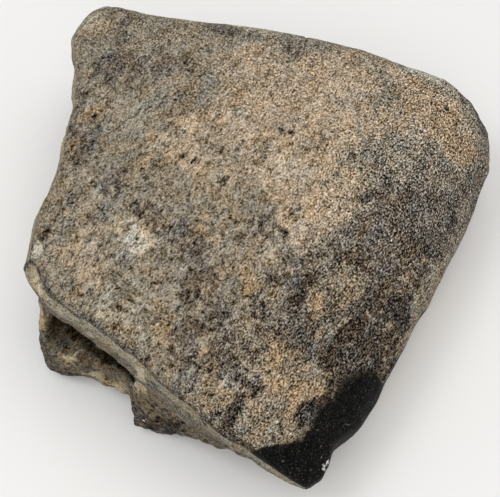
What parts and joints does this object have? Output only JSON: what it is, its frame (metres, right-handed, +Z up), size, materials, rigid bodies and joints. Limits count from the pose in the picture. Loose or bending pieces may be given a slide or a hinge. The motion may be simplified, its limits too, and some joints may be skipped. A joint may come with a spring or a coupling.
{
  "type": "fossil bone shaft fragment",
  "caption": "Broken length of a hadrosaur tibia shaft in stone: crowned outer surface, round shoulder, broken ends, open marrow hollow.",
  "frame": {"origin": "on the ground, below the middle of the fragment's bounding box", "axes": "+Z up from the ground it rests on; +X along the front break towards the round shoulder; +Y along the bone, from the front break to the wider far end"},
  "size_m": [0.1308, 0.1296, 0.046],
  "materials": {
    "fossil_bone": "rough, fine pores and grain"
  },
  "bodies": {
    "root": {"tibia_fragment": "fossil_bone"}
  },
  "joints": []
}
